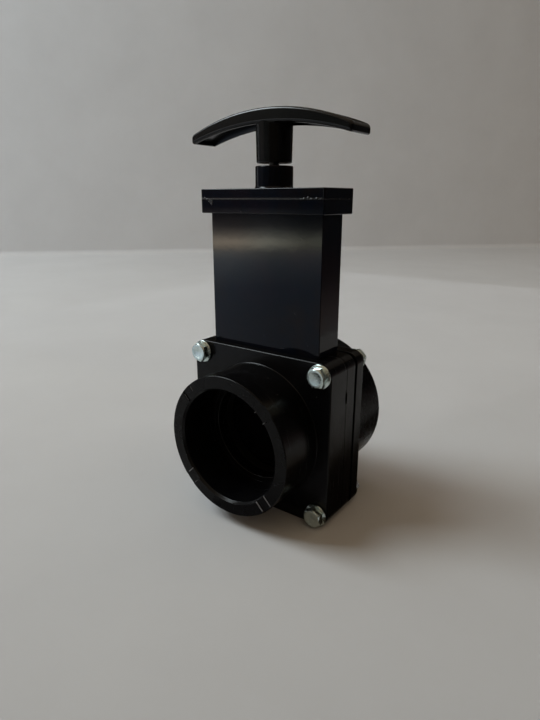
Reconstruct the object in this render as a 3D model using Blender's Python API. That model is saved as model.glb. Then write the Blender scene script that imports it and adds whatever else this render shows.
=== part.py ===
"""Slide gate valve for glued plastic pipe, in metres, +Z up.

The valve stands on its flanges with the gate closed. X zero is the middle of the valve, Z zero is the
ground, and Y zero is half way between the two pipe ends. The front pipe end points along -Y.
"""

import math

import bmesh
import bpy
from mathutils import Matrix

# Clearances
FIT = 0.0003
OVERSHOOT = 0.001
ROOT_SINK = 0.0001
SAME_PLACE = 1e-6

# Pipe ends
SPIGOT_OUTER = 0.063
FRONT_SOCKET_BORE = 0.0503
FRONT_SOCKET_DEPTH = 0.0210
FRONT_HUB_LENGTH = 0.0227
REAR_SOCKET_BORE = 0.0633
REAR_SOCKET_WALL = 0.0039
REAR_SOCKET_DEPTH = 0.0226
REAR_HUB_LENGTH = 0.0244
MOUTH_CHAMFER = 0.0004
HUB_ROOT_FILLET = 0.0012
HUB_MARGIN = 0.00195
END_NOTCH_WIDTH = 0.0056
END_NOTCH_DEPTH = 0.0004
PORT_BORE = 0.0450

# Gate and its seals
GATE_OVERLAP = 0.0031
GATE_THICKNESS = 0.0050
GATE_RISE = 0.0500
GATE_TOP_STEP = 0.0020
GATE_EDGE = 0.0008
BOSS_WIDTH = 0.0220
BOSS_WALL = 0.0010
BOSS_FLOOR = 0.0044
GATE_SEAL_WIDTH = 0.0021
GATE_SEAL_LIP = 0.0006
OPEN_CLEARANCE = 0.0004
TRAVEL_END_GAP = 0.0005

# Body halves
FRAME_WALL = 0.0016
FRONT_WALL = 0.0043
RIM_PROUD = 0.0006
GASKET_SPACE = 0.0017
GASKET_INSET = 0.0012
REAR_PLATE = 0.0060
PAD_DROP = 0.0010
FLANGE_CORNER = 0.0053
FLANGE_EDGE = 0.0010

# Bolts and nuts
BOLT_DIAMETER = 0.0050
BOLT_LENGTH = 0.0350
BOLT_WALL = 0.0016
BOLT_TIP_CHAMFER = 0.0006
HEX_ACROSS_FLATS = 0.0080
HEAD_WASHER_DIAMETER = 0.0106
HEAD_WASHER_THICKNESS = 0.0012
HEAD_HEX_HEIGHT = 0.0026
NUT_HEIGHT = 0.0046

# Gate housing and cap
HOUSING_WALL = 0.0025
HOUSING_SIDE_WALL = 0.00277
HOUSING_EDGE = 0.0006
RIM_WIDTH = 0.0624
RIM_DEPTH = 0.0229
RIM_HEIGHT = 0.0057
RIM_TAPER = 0.0001
CAP_PLATE = 0.0040
CAP_EDGE = 0.0005
CAP_PLUG_DEPTH = 0.0020
COLLAR_DIAMETER = 0.0157
COLLAR_HEIGHT = 0.00885
COLLAR_FILLET = 0.0010
COLLAR_EDGE = 0.0004

# Stem and handle
ROD_DIAMETER = 0.0040
ROD_HEAD_DIAMETER = 0.0072
ROD_HEAD_THICKNESS = 0.0030
ROD_NECK = 0.0060
ROD_GRIP = 0.0119
ROD_END_CHAMFER = 0.0005
O_RING_SECTION = 0.0018
BUSH_LENGTH = 0.0060
BUSH_WALL = 0.0018
HANDLE_GAP = 0.0011
HANDLE_STEM_LENGTH = 0.01465
HANDLE_STEM_TOP = 0.0152
HANDLE_STEM_BOTTOM = 0.0146
HANDLE_LENGTH = 0.0790
HANDLE_DEPTH = 0.0154
HANDLE_MIDDLE = 0.0057
HANDLE_TIP = 0.0039
HANDLE_DROP = 0.0079
HANDLE_EDGE = 0.0013
HANDLE_SKIN = 0.0022
HANDLE_WALL = 0.0020

# Fineness of round faces
HUB_SIDES = 56
CHANNEL_STEPS = 32
CORNER_STEPS = 6
BOLT_SIDES = 20
STEM_SIDES = 28
O_RING_SIDES = 8
FILLET_STEPS = 4
EDGE_STEPS = 2
HANDLE_STEPS = 20

# Widths worked out from the port outwards
PORT_RADIUS = PORT_BORE / 2
GATE_HALF = PORT_RADIUS + GATE_OVERLAP
WINDOW_RADIUS = PORT_RADIUS + GATE_SEAL_WIDTH + FIT
CAVITY_HALF = GATE_HALF + FIT
FRAME_HALF = CAVITY_HALF + FRAME_WALL
HOUSING_HALF = CAVITY_HALF + HOUSING_SIDE_WALL
POCKET_HALF = FRAME_HALF + FIT
BOLT_HOLE_RADIUS = BOLT_DIAMETER / 2 + FIT
REAR_HUB_RADIUS = REAR_SOCKET_BORE / 2 + REAR_SOCKET_WALL
BOLTED_HALF = POCKET_HALF + BOLT_WALL + BOLT_HOLE_RADIUS + FLANGE_CORNER
FLANGE_HALF = max(BOLTED_HALF, REAR_HUB_RADIUS + HUB_MARGIN)
BOLT_OFFSET = FLANGE_HALF - FLANGE_CORNER

# Depths from the stem's plane
HEAD_POCKET_RADIUS = ROD_HEAD_DIAMETER / 2 + FIT
BOSS_HALF_DEPTH = HEAD_POCKET_RADIUS + BOSS_WALL
CAVITY_HALF_DEPTH = BOSS_HALF_DEPTH + FIT
HOUSING_HALF_DEPTH = CAVITY_HALF_DEPTH + HOUSING_WALL
POCKET_FRONT = -HOUSING_HALF_DEPTH - FIT
FRONT_FACE = POCKET_FRONT - FRONT_WALL
FRONT_END = FRONT_FACE - FRONT_HUB_LENGTH
RIM_END = HOUSING_HALF_DEPTH + RIM_PROUD
PAD_FACE = HOUSING_HALF_DEPTH + FIT
PLATE_FRONT = RIM_END + GASKET_SPACE
REAR_FACE = PLATE_FRONT + REAR_PLATE
REAR_END = REAR_FACE + REAR_HUB_LENGTH
STEM_Y = -(FRONT_END + REAR_END) / 2

# Heights from the ground
AXIS_Z = FLANGE_HALF
FLANGE_TOP = AXIS_Z + FLANGE_HALF
SHOULDER_Z = FLANGE_TOP + FIT
GATE_TOP = AXIS_Z + GATE_RISE
GATE_TRAVEL = PORT_BORE + GATE_OVERLAP + OPEN_CLEARANCE
CEILING_Z = GATE_TOP + GATE_TRAVEL + TRAVEL_END_GAP
HOUSING_TOP = CEILING_Z + CAP_PLUG_DEPTH
RIM_BOTTOM = HOUSING_TOP - RIM_HEIGHT
CAP_BOTTOM = HOUSING_TOP + FIT
CAP_TOP = CAP_BOTTOM + CAP_PLATE
COLLAR_TOP = CAP_TOP + COLLAR_HEIGHT
HANDLE_BOTTOM = COLLAR_TOP + HANDLE_GAP
BAR_UNDERSIDE = HANDLE_BOTTOM + HANDLE_STEM_LENGTH
HEAD_POCKET_TOP = GATE_TOP - ROD_NECK
HEAD_POCKET_BOTTOM = HEAD_POCKET_TOP - ROD_HEAD_THICKNESS - 2 * FIT
BOSS_BOTTOM = HEAD_POCKET_BOTTOM - BOSS_FLOOR

# Bores round the rod
ROD_RADIUS = ROD_DIAMETER / 2
ROD_BORE_RADIUS = ROD_RADIUS + FIT
O_RING_OUTER_RADIUS = ROD_BORE_RADIUS + O_RING_SECTION
SEAL_POCKET_RADIUS = O_RING_OUTER_RADIUS + FIT
LOWER_RING_Z = CEILING_Z + BUSH_LENGTH + FIT + O_RING_SECTION / 2
UPPER_RING_Z = LOWER_RING_Z + O_RING_SECTION + FIT
SEAL_POCKET_TOP = UPPER_RING_Z + O_RING_SECTION / 2 + FIT

SMOOTH_ANGLE = math.radians(30)
CORNERS = {
    "top_left": (-1, 1),
    "top_right": (1, 1),
    "bottom_left": (-1, -1),
    "bottom_right": (1, -1),
}


def make_material(name, colour, roughness, metallic=0.0):
    """A plain shaded finish."""
    finish = bpy.data.materials.new(name)
    finish.use_nodes = True
    shader = finish.node_tree.nodes["Principled BSDF"]
    shader.inputs["Base Color"].default_value = (*colour, 1.0)
    shader.inputs["Roughness"].default_value = roughness
    shader.inputs["Metallic"].default_value = metallic
    return finish


def arc(centre, radius, start, end, steps):
    """Points along an arc in a plane, with angles in degrees."""
    points = []
    for step in range(steps + 1):
        angle = math.radians(start + (end - start) * step / steps)
        points.append((centre[0] + radius * math.cos(angle), centre[1] + radius * math.sin(angle)))
    return points


def rounded_square(half, radius):
    """A square outline about the pipe axis, with round corners."""
    inner = half - radius
    points = []
    for quarter, (side, level) in enumerate(((1, 1), (-1, 1), (-1, -1), (1, -1))):
        centre = (side * inner, AXIS_Z + level * inner)
        points += arc(centre, radius, 90 * quarter, 90 * quarter + 90, CORNER_STEPS)
    return points


def channel(half, top):
    """A slot outline with straight sides and a half-round bottom about the pipe axis."""
    bottom = arc((0, AXIS_Z), half, 180, 360, CHANNEL_STEPS)
    return [(-half, top)] + bottom + [(half, top)]


def prism(outline, front, back):
    """A solid with an outline in X and Z that runs from front to back along Y."""
    bm = bmesh.new()
    face = bm.faces.new([bm.verts.new((x, front, z)) for x, z in outline])
    grown = bmesh.ops.extrude_face_region(bm, geom=[face])["geom"]
    moved = [item for item in grown if isinstance(item, bmesh.types.BMVert)]
    bmesh.ops.translate(bm, verts=moved, vec=(0, back - front, 0))
    bmesh.ops.recalc_face_normals(bm, faces=bm.faces)
    return bm


def block(half_width, half_depth, bottom, top):
    """An upright box centred on the stem."""
    sides = ((-half_width, bottom), (half_width, bottom), (half_width, top), (-half_width, top))
    return prism(sides, -half_depth, half_depth)


def turned(profile, axis, sides, ring=False):
    """A solid turned about Y or Z from points of radius and place; a ring's profile is a closed loop."""
    bm = bmesh.new()
    if axis == "Y":
        verts = [bm.verts.new((radius, along, 0)) for radius, along in profile]
        direction = (0, 1, 0)
    else:
        verts = [bm.verts.new((radius, 0, along)) for radius, along in profile]
        direction = (0, 0, 1)
    edges = [bm.edges.new(pair) for pair in zip(verts, verts[1:])]
    if ring:
        edges.append(bm.edges.new((verts[-1], verts[0])))
    bmesh.ops.spin(
        bm, geom=verts + edges, cent=(0, 0, 0), axis=direction, angle=2 * math.pi, steps=sides, use_merge=True
    )
    bmesh.ops.remove_doubles(bm, verts=bm.verts, dist=SAME_PLACE)
    bmesh.ops.recalc_face_normals(bm, faces=bm.faces)
    return bm


def lift(bm, x=0, y=0, z=0):
    """Moves a shape and hands it back."""
    bmesh.ops.translate(bm, verts=bm.verts, vec=(x, y, z))
    return bm


def merged(shapes):
    """Several separate shapes held in one."""
    bm = bmesh.new()
    for shape in shapes:
        scratch = bpy.data.meshes.new("shape")
        shape.to_mesh(scratch)
        shape.free()
        bm.from_mesh(scratch)
        bpy.data.meshes.remove(scratch)
    return bm


def round_edges(bm, width, wanted):
    """Rounds the edges whose two end points both satisfy a test."""
    edges = [edge for edge in bm.edges if all(wanted(vert.co) for vert in edge.verts)]
    bmesh.ops.bevel(bm, geom=edges, offset=width, segments=EDGE_STEPS, profile=0.5, affect="EDGES")
    return bm


def near(value, target):
    """True where two places are the same."""
    return abs(value - target) < SAME_PLACE


def to_mesh(name, bm):
    """A mesh with smooth round faces and sharp corners."""
    mesh = bpy.data.meshes.new(name)
    bm.to_mesh(mesh)
    bm.free()
    mesh.shade_smooth()
    mesh.set_sharp_from_angle(angle=SMOOTH_ANGLE)
    return mesh


def place(name, mesh, finish, parent, location=(0, 0, 0)):
    """A named piece on its parent."""
    piece = bpy.data.objects.new(name, mesh)
    bpy.context.scene.collection.objects.link(piece)
    piece.parent = parent
    piece.location = location
    if not mesh.materials:
        mesh.materials.append(finish)
    return piece


def combine(piece, bm, operation, label):
    """Joins a tool shape to a piece or cuts it away, and hides the tool."""
    tool = bpy.data.objects.new(f"{piece.name}_{label}", to_mesh(label, bm))
    bpy.context.scene.collection.objects.link(tool)
    tool.parent = piece.parent
    tool.hide_render = True
    tool.display_type = "WIRE"
    step = piece.modifiers.new(label, "BOOLEAN")
    step.object = tool
    step.operation = operation
    step.solver = "EXACT"


def fuse(piece, bm, label):
    """Joins a shape to a piece."""
    combine(piece, bm, "UNION", label)


def cut(piece, bm, label):
    """Cuts a shape out of a piece."""
    combine(piece, bm, "DIFFERENCE", label)


def upright(bm):
    """Lifts a shape turned about Y to the height of the pipe axis."""
    return lift(bm, z=AXIS_Z)


def hub_solid(outer_radius, face, outward, length):
    """A pipe hub without its bore, from just inside its flange to its end."""
    end = face + outward * length
    root_radius = outer_radius + HUB_ROOT_FILLET
    profile = [(0, end), (outer_radius - MOUTH_CHAMFER, end), (outer_radius, end - outward * MOUTH_CHAMFER)]
    for step in range(FILLET_STEPS + 1):
        angle = math.pi / 2 * step / FILLET_STEPS
        radius = root_radius - HUB_ROOT_FILLET * math.cos(angle)
        above = HUB_ROOT_FILLET - (HUB_ROOT_FILLET + ROOT_SINK) * math.sin(angle)
        profile.append((radius, face + outward * above))
    profile += [(root_radius, face - outward * OVERSHOOT), (0, face - outward * OVERSHOOT)]
    return upright(turned(profile, "Y", HUB_SIDES))


def socket_bore(bore_radius, depth, end, outward, port_end):
    """A pipe socket with a mouth chamfer, a stop shoulder and the port behind it."""
    mouth = bore_radius + MOUTH_CHAMFER
    stop = end - outward * depth
    profile = [
        (0, end + outward * OVERSHOOT),
        (mouth + OVERSHOOT, end + outward * OVERSHOOT),
        (bore_radius, end - outward * MOUTH_CHAMFER),
        (bore_radius, stop),
        (PORT_RADIUS, stop),
        (PORT_RADIUS, port_end),
        (0, port_end),
    ]
    return upright(turned(profile, "Y", HUB_SIDES))


def bolt_holes(front, back):
    """Four clearance holes for the bolts."""
    profile = [(0, front), (BOLT_HOLE_RADIUS, front), (BOLT_HOLE_RADIUS, back), (0, back)]
    holes = []
    for side, level in CORNERS.values():
        hole = turned(profile, "Y", BOLT_SIDES)
        holes.append(lift(hole, x=side * BOLT_OFFSET, z=AXIS_Z + level * BOLT_OFFSET))
    return merged(holes)


def end_notches():
    """Four shallow radial notches across the front hub's end face, on the diagonals."""
    inner = FRONT_SOCKET_BORE / 2 - OVERSHOOT
    outer = SPIGOT_OUTER / 2 + OVERSHOOT
    notches = []
    for side, level in CORNERS.values():
        half = END_NOTCH_WIDTH / 2
        outline = ((inner, -half), (outer, -half), (outer, half), (inner, half))
        notch = prism(outline, FRONT_END - OVERSHOOT, FRONT_END + END_NOTCH_DEPTH)
        turn = Matrix.Rotation(-math.atan2(level, side), 3, "Y")
        bmesh.ops.rotate(notch, verts=notch.verts, cent=(0, 0, 0), matrix=turn)
        notches.append(upright(notch))
    return merged(notches)


def make_front_body(frame, finish):
    """The front half: a deep square tray with the front hub."""
    bm = prism(rounded_square(FLANGE_HALF, FLANGE_CORNER), FRONT_FACE, RIM_END)
    round_edges(bm, FLANGE_EDGE, lambda co: near(co.y, FRONT_FACE))
    body = place("front_body", to_mesh("front_body", bm), finish, frame)
    fuse(body, hub_solid(SPIGOT_OUTER / 2, FRONT_FACE, -1, FRONT_HUB_LENGTH), "hub")
    cut(body, end_notches(), "notches")
    port_end = POCKET_FRONT + OVERSHOOT
    cut(body, socket_bore(FRONT_SOCKET_BORE / 2, FRONT_SOCKET_DEPTH, FRONT_END, -1, port_end), "socket")
    pocket = prism(channel(POCKET_HALF, FLANGE_TOP + OVERSHOOT), POCKET_FRONT, RIM_END + OVERSHOOT)
    cut(body, pocket, "pocket")
    cut(body, bolt_holes(FRONT_FACE - OVERSHOOT, RIM_END + OVERSHOOT), "bolt_holes")


def make_rear_body(frame, finish):
    """The rear half: a plate with a pad that closes the tray, and the wider rear hub."""
    bm = prism(rounded_square(FLANGE_HALF, FLANGE_CORNER), PLATE_FRONT, REAR_FACE)
    round_edges(bm, FLANGE_EDGE, lambda co: near(co.y, REAR_FACE))
    body = place("rear_body", to_mesh("rear_body", bm), finish, frame)
    pad = prism(channel(POCKET_HALF - FIT, FLANGE_TOP - PAD_DROP), PAD_FACE, PLATE_FRONT + OVERSHOOT)
    fuse(body, pad, "pad")
    fuse(body, hub_solid(REAR_HUB_RADIUS, REAR_FACE, 1, REAR_HUB_LENGTH), "hub")
    port_end = PAD_FACE - OVERSHOOT
    cut(body, socket_bore(REAR_SOCKET_BORE / 2, REAR_SOCKET_DEPTH, REAR_END, 1, port_end), "socket")
    cut(body, bolt_holes(PLATE_FRONT - OVERSHOOT, REAR_FACE + OVERSHOOT), "bolt_holes")


def make_gasket(frame, finish):
    """A flat gasket between the halves, set back from their edges and open where the housing passes."""
    outline = rounded_square(FLANGE_HALF - GASKET_INSET, FLANGE_CORNER - GASKET_INSET)
    front = RIM_END + FIT
    back = PLATE_FRONT - FIT
    gasket = place("body_gasket", to_mesh("body_gasket", prism(outline, front, back)), finish, frame)
    opening = channel(POCKET_HALF, FLANGE_TOP + OVERSHOOT)
    cut(gasket, prism(opening, front - OVERSHOOT, back + OVERSHOOT), "opening")
    cut(gasket, bolt_holes(front - OVERSHOOT, back + OVERSHOOT), "bolt_holes")


def make_housing(frame, finish):
    """The flat box round the gate: a half-round frame inside the body, a box above it and a wider rim."""
    shaft_top = HOUSING_TOP - RIM_HEIGHT / 2
    bottom = arc((0, AXIS_Z), FRAME_HALF, 180, 360, CHANNEL_STEPS)
    left = [(-HOUSING_HALF, shaft_top), (-HOUSING_HALF, SHOULDER_Z), (-FRAME_HALF, SHOULDER_Z)]
    right = [(FRAME_HALF, SHOULDER_Z), (HOUSING_HALF, SHOULDER_Z), (HOUSING_HALF, shaft_top)]
    bm = prism(left + bottom + right, -HOUSING_HALF_DEPTH, HOUSING_HALF_DEPTH)
    for corner in (-1, 1):
        for depth in (-HOUSING_HALF_DEPTH, HOUSING_HALF_DEPTH):
            round_edges(
                bm, HOUSING_EDGE, lambda co: near(co.x, corner * HOUSING_HALF) and near(co.y, depth)
            )
    housing = place("gate_housing", to_mesh("gate_housing", bm), finish, frame)
    rim = block(RIM_WIDTH / 2, RIM_DEPTH / 2, RIM_BOTTOM, HOUSING_TOP)
    for vert in rim.verts:
        if near(vert.co.z, RIM_BOTTOM):
            vert.co.x -= math.copysign(RIM_TAPER, vert.co.x)
            vert.co.y -= math.copysign(RIM_TAPER, vert.co.y)
    fuse(housing, rim, "rim")
    cavity = prism(channel(CAVITY_HALF, HOUSING_TOP + OVERSHOOT), -CAVITY_HALF_DEPTH, CAVITY_HALF_DEPTH)
    cut(housing, cavity, "cavity")
    reach = HOUSING_HALF_DEPTH + OVERSHOOT
    window = [(0, -reach), (WINDOW_RADIUS, -reach), (WINDOW_RADIUS, reach), (0, reach)]
    cut(housing, upright(turned(window, "Y", HUB_SIDES)), "windows")


def make_cap(frame, finish):
    """The plate that closes the housing, with a plug below it and the stem collar above it."""
    bm = block(RIM_WIDTH / 2, RIM_DEPTH / 2, CAP_BOTTOM, CAP_TOP)
    round_edges(bm, CAP_EDGE, lambda co: near(co.z, CAP_TOP))
    cap = place("housing_cap", to_mesh("housing_cap", bm), finish, frame)
    plug = block(CAVITY_HALF - FIT, CAVITY_HALF_DEPTH - FIT, CEILING_Z, CAP_BOTTOM + OVERSHOOT)
    fuse(cap, plug, "plug")
    collar_radius = COLLAR_DIAMETER / 2
    collar = [(0, CAP_TOP - OVERSHOOT), (collar_radius + COLLAR_FILLET, CAP_TOP - OVERSHOOT)]
    for step in range(FILLET_STEPS + 1):
        angle = math.pi / 2 * step / FILLET_STEPS
        radius = collar_radius + COLLAR_FILLET * (1 - math.sin(angle))
        above = COLLAR_FILLET - (COLLAR_FILLET + ROOT_SINK) * math.cos(angle)
        collar.append((radius, CAP_TOP + above))
    collar += [(collar_radius, COLLAR_TOP - COLLAR_EDGE), (collar_radius - COLLAR_EDGE, COLLAR_TOP)]
    collar.append((0, COLLAR_TOP))
    fuse(cap, turned(collar, "Z", STEM_SIDES), "collar")
    bore = [
        (0, CEILING_Z - OVERSHOOT),
        (SEAL_POCKET_RADIUS, CEILING_Z - OVERSHOOT),
        (SEAL_POCKET_RADIUS, SEAL_POCKET_TOP),
        (ROD_BORE_RADIUS, SEAL_POCKET_TOP),
        (ROD_BORE_RADIUS, COLLAR_TOP + OVERSHOOT),
        (0, COLLAR_TOP + OVERSHOOT),
    ]
    cut(cap, turned(bore, "Z", STEM_SIDES), "stem_bore")


def make_stem_seals(frame, rubber, bush_finish):
    """Two O-rings round the rod, kept in the collar by a plain bush."""
    middle = ROD_BORE_RADIUS + O_RING_SECTION / 2
    section = arc((middle, 0), O_RING_SECTION / 2, 0, 360, O_RING_SIDES)[:-1]
    for name, height in (("stem_o_ring_lower", LOWER_RING_Z), ("stem_o_ring_upper", UPPER_RING_Z)):
        ring = turned(section, "Z", STEM_SIDES, ring=True)
        place(name, to_mesh(name, ring), rubber, frame, (0, 0, height))
    outer = ROD_BORE_RADIUS + BUSH_WALL
    top = CEILING_Z + BUSH_LENGTH
    wall = [(ROD_BORE_RADIUS, CEILING_Z), (outer, CEILING_Z), (outer, top), (ROD_BORE_RADIUS, top)]
    place("stem_bush", to_mesh("stem_bush", turned(wall, "Z", STEM_SIDES, ring=True)), bush_finish, frame)


def make_gate(frame, finish):
    """The sliding gate, with a boss at its top whose slot takes the rod's head."""
    half = GATE_THICKNESS / 2
    bm = prism(channel(GATE_HALF, GATE_TOP - GATE_TOP_STEP), -half, half)
    for face in (-half, half):
        round_edges(bm, GATE_EDGE, lambda co: near(co.y, face) and co.z < AXIS_Z + FIT)
    gate = place("gate_blade", to_mesh("gate_blade", bm), finish, frame)
    fuse(gate, block(BOSS_WIDTH / 2, BOSS_HALF_DEPTH, BOSS_BOTTOM, GATE_TOP), "boss")
    for label, radius, bottom, top in (
        ("head_pocket", HEAD_POCKET_RADIUS, HEAD_POCKET_BOTTOM, HEAD_POCKET_TOP),
        ("neck_slot", ROD_BORE_RADIUS, HEAD_POCKET_TOP - FIT, GATE_TOP + OVERSHOOT),
    ):
        outline = arc((0, 0), radius, 0, 180, STEM_SIDES // 2)
        mouth = -BOSS_HALF_DEPTH - OVERSHOOT
        outline += [(-radius, mouth), (radius, mouth)]
        slot = prism(outline, bottom, top)
        stand = Matrix(((1, 0, 0), (0, 0, 1), (0, 1, 0)))
        bmesh.ops.transform(slot, matrix=stand.to_4x4(), verts=slot.verts)
        bmesh.ops.recalc_face_normals(slot, faces=slot.faces)
        cut(gate, slot, label)


def make_gate_seals(frame, finish):
    """Rubber rings in the housing's windows, one on each side of the gate, with a lip towards it."""
    outer = WINDOW_RADIUS - FIT
    near_gate = GATE_THICKNESS / 2 + FIT
    for name, side in (("front_gate_seal", -1), ("rear_gate_seal", 1)):
        section = [
            (PORT_RADIUS, side * HOUSING_HALF_DEPTH),
            (outer, side * HOUSING_HALF_DEPTH),
            (outer, side * (near_gate + GATE_SEAL_LIP)),
            (outer - GATE_SEAL_LIP, side * near_gate),
            (PORT_RADIUS + GATE_SEAL_LIP, side * near_gate),
            (PORT_RADIUS, side * (near_gate + GATE_SEAL_LIP)),
        ]
        ring = turned(section, "Y", HUB_SIDES, ring=True)
        place(name, to_mesh(name, upright(ring)), finish, frame)


def make_rod(frame, finish):
    """The rod: a round head in the gate's slot and a plain shank up into the handle."""
    bottom = HEAD_POCKET_BOTTOM + FIT
    shoulder = bottom + ROD_HEAD_THICKNESS
    top = HANDLE_BOTTOM + ROD_GRIP
    head_radius = ROD_HEAD_DIAMETER / 2
    profile = [
        (0, bottom),
        (head_radius, bottom),
        (head_radius, shoulder),
        (ROD_RADIUS, shoulder),
        (ROD_RADIUS, top - ROD_END_CHAMFER),
        (ROD_RADIUS - ROD_END_CHAMFER, top),
        (0, top),
    ]
    place("stem_rod", to_mesh("stem_rod", turned(profile, "Z", STEM_SIDES)), finish, frame)


def sagging_arc(half, middle, drop):
    """Points of a shallow arch that falls by drop from its middle to both ends."""
    radius = (half * half + drop * drop) / (2 * drop)
    reach = math.degrees(math.asin(half / radius))
    return arc((0, middle - radius), radius, 90 + reach, 90 - reach, HANDLE_STEPS)


def make_handle(frame, finish):
    """The T-handle: an arched bar, hollow underneath, on a round stem that takes the rod."""
    half = HANDLE_LENGTH / 2
    bar_top = BAR_UNDERSIDE + HANDLE_MIDDLE
    upper = sagging_arc(half, bar_top, HANDLE_DROP)
    lower = sagging_arc(half, BAR_UNDERSIDE, HANDLE_DROP - HANDLE_MIDDLE + HANDLE_TIP)
    bm = prism(upper + lower[::-1], -HANDLE_DEPTH / 2, HANDLE_DEPTH / 2)
    sharp = [edge for edge in bm.edges if edge.calc_face_angle() > SMOOTH_ANGLE]
    bmesh.ops.bevel(bm, geom=sharp, offset=HANDLE_EDGE, segments=EDGE_STEPS, profile=0.5, affect="EDGES")
    handle = place("handle", to_mesh("handle", bm), finish, frame)
    hollow_half = half - HANDLE_WALL
    hollow_drop = HANDLE_DROP * (hollow_half / half) ** 2
    ceiling = sagging_arc(hollow_half, bar_top - HANDLE_SKIN, hollow_drop)
    floor_z = bar_top - HANDLE_DROP - HANDLE_TIP - OVERSHOOT
    hollow = [(-hollow_half, floor_z)] + ceiling + [(hollow_half, floor_z)]
    hollow_depth = HANDLE_DEPTH / 2 - HANDLE_WALL
    cut(handle, prism(hollow, -hollow_depth, hollow_depth), "hollow")
    stem = [
        (0, HANDLE_BOTTOM),
        (HANDLE_STEM_BOTTOM / 2, HANDLE_BOTTOM),
        (HANDLE_STEM_TOP / 2, BAR_UNDERSIDE + HANDLE_MIDDLE / 2),
        (0, BAR_UNDERSIDE + HANDLE_MIDDLE / 2),
    ]
    fuse(handle, turned(stem, "Z", STEM_SIDES), "stem")
    depth = HANDLE_BOTTOM + ROD_GRIP + FIT
    low = HANDLE_BOTTOM - OVERSHOOT
    hole = [(0, low), (ROD_BORE_RADIUS, low), (ROD_BORE_RADIUS, depth), (0, depth)]
    cut(handle, turned(hole, "Z", STEM_SIDES), "rod_hole")


def hexagon(across_flats, front, back):
    """A hexagonal bar along Y about its own axis."""
    corner = across_flats / 2 / math.cos(math.radians(30))
    return prism(arc((0, 0), corner, 0, 360, 6)[:-1], front, back)


def make_bolts(frame, finish):
    """Four bolts with a hexagon on a round washer face, their shanks pointing along +Y."""
    seat = -FIT
    tip = BOLT_LENGTH
    radius = BOLT_DIAMETER / 2
    washer_front = seat - HEAD_WASHER_THICKNESS
    profile = [
        (0, washer_front),
        (HEAD_WASHER_DIAMETER / 2 - HEAD_WASHER_THICKNESS / 2, washer_front),
        (HEAD_WASHER_DIAMETER / 2, seat - HEAD_WASHER_THICKNESS / 2),
        (HEAD_WASHER_DIAMETER / 2, seat),
        (radius, seat),
        (radius, tip - BOLT_TIP_CHAMFER),
        (radius - BOLT_TIP_CHAMFER, tip),
        (0, tip),
    ]
    for corner, (side, level) in CORNERS.items():
        name = f"bolt_{corner}"
        at = (side * BOLT_OFFSET, FRONT_FACE, AXIS_Z + level * BOLT_OFFSET)
        bolt = place(name, to_mesh(name, turned(profile, "Y", BOLT_SIDES)), finish, frame, at)
        head = hexagon(HEX_ACROSS_FLATS, washer_front - HEAD_HEX_HEIGHT, seat - HEAD_WASHER_THICKNESS / 2)
        fuse(bolt, lift(head, *at), "hexagon")


def make_nuts(frame, finish):
    """Four nuts behind the rear plate, each a hexagon on a round washer face."""
    seat = REAR_FACE + FIT
    hole = BOLT_DIAMETER / 2 + FIT
    for corner, (side, level) in CORNERS.items():
        name = f"nut_{corner}"
        at = (side * BOLT_OFFSET, seat, AXIS_Z + level * BOLT_OFFSET)
        washer = [
            (0, 0),
            (HEAD_WASHER_DIAMETER / 2, 0),
            (HEAD_WASHER_DIAMETER / 2, HEAD_WASHER_THICKNESS / 2),
            (HEAD_WASHER_DIAMETER / 2 - HEAD_WASHER_THICKNESS / 2, HEAD_WASHER_THICKNESS),
            (0, HEAD_WASHER_THICKNESS),
        ]
        nut = place(name, to_mesh(name, turned(washer, "Y", BOLT_SIDES)), finish, frame, at)
        fuse(nut, lift(hexagon(HEX_ACROSS_FLATS, HEAD_WASHER_THICKNESS / 2, NUT_HEIGHT), *at), "hexagon")
        low, high = -OVERSHOOT, NUT_HEIGHT + OVERSHOOT
        bore = turned([(0, low), (hole, low), (hole, high), (0, high)], "Y", BOLT_SIDES)
        cut(nut, lift(bore, *at), "thread_bore")


def build():
    """Puts the valve together on a frame whose origin lies on the stem's axis."""
    for leftover in list(bpy.data.objects):
        bpy.data.objects.remove(leftover, do_unlink=True)
    frame = bpy.data.objects.new("stem_frame", None)
    bpy.context.scene.collection.objects.link(frame)
    frame.location.y = STEM_Y
    shell = make_material("black_abs_moulding", (0.012, 0.012, 0.014), 0.32)
    box = make_material("black_abs_housing", (0.010, 0.011, 0.014), 0.26)
    grip = make_material("black_abs_handle", (0.014, 0.014, 0.016), 0.36)
    blade = make_material("black_gate_plastic", (0.020, 0.020, 0.021), 0.40)
    rubber = make_material("black_seal_rubber", (0.016, 0.016, 0.016), 0.75)
    nylon = make_material("white_bush_nylon", (0.62, 0.60, 0.55), 0.45)
    zinc = make_material("zinc_plated_steel", (0.62, 0.64, 0.65), 0.28, 1.0)
    rod_steel = make_material("blackened_rod_steel", (0.035, 0.035, 0.038), 0.35, 0.9)
    make_front_body(frame, shell)
    make_rear_body(frame, shell)
    make_gasket(frame, rubber)
    make_housing(frame, box)
    make_cap(frame, box)
    make_gate_seals(frame, rubber)
    make_gate(frame, blade)
    make_stem_seals(frame, rubber, nylon)
    make_rod(frame, rod_steel)
    make_handle(frame, grip)
    make_bolts(frame, zinc)
    make_nuts(frame, zinc)


build()
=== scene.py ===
"""Looks of a slide gate valve for glued plastic pipe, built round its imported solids, in metres, +Z up."""

import math

import bpy
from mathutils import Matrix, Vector, noise


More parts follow.
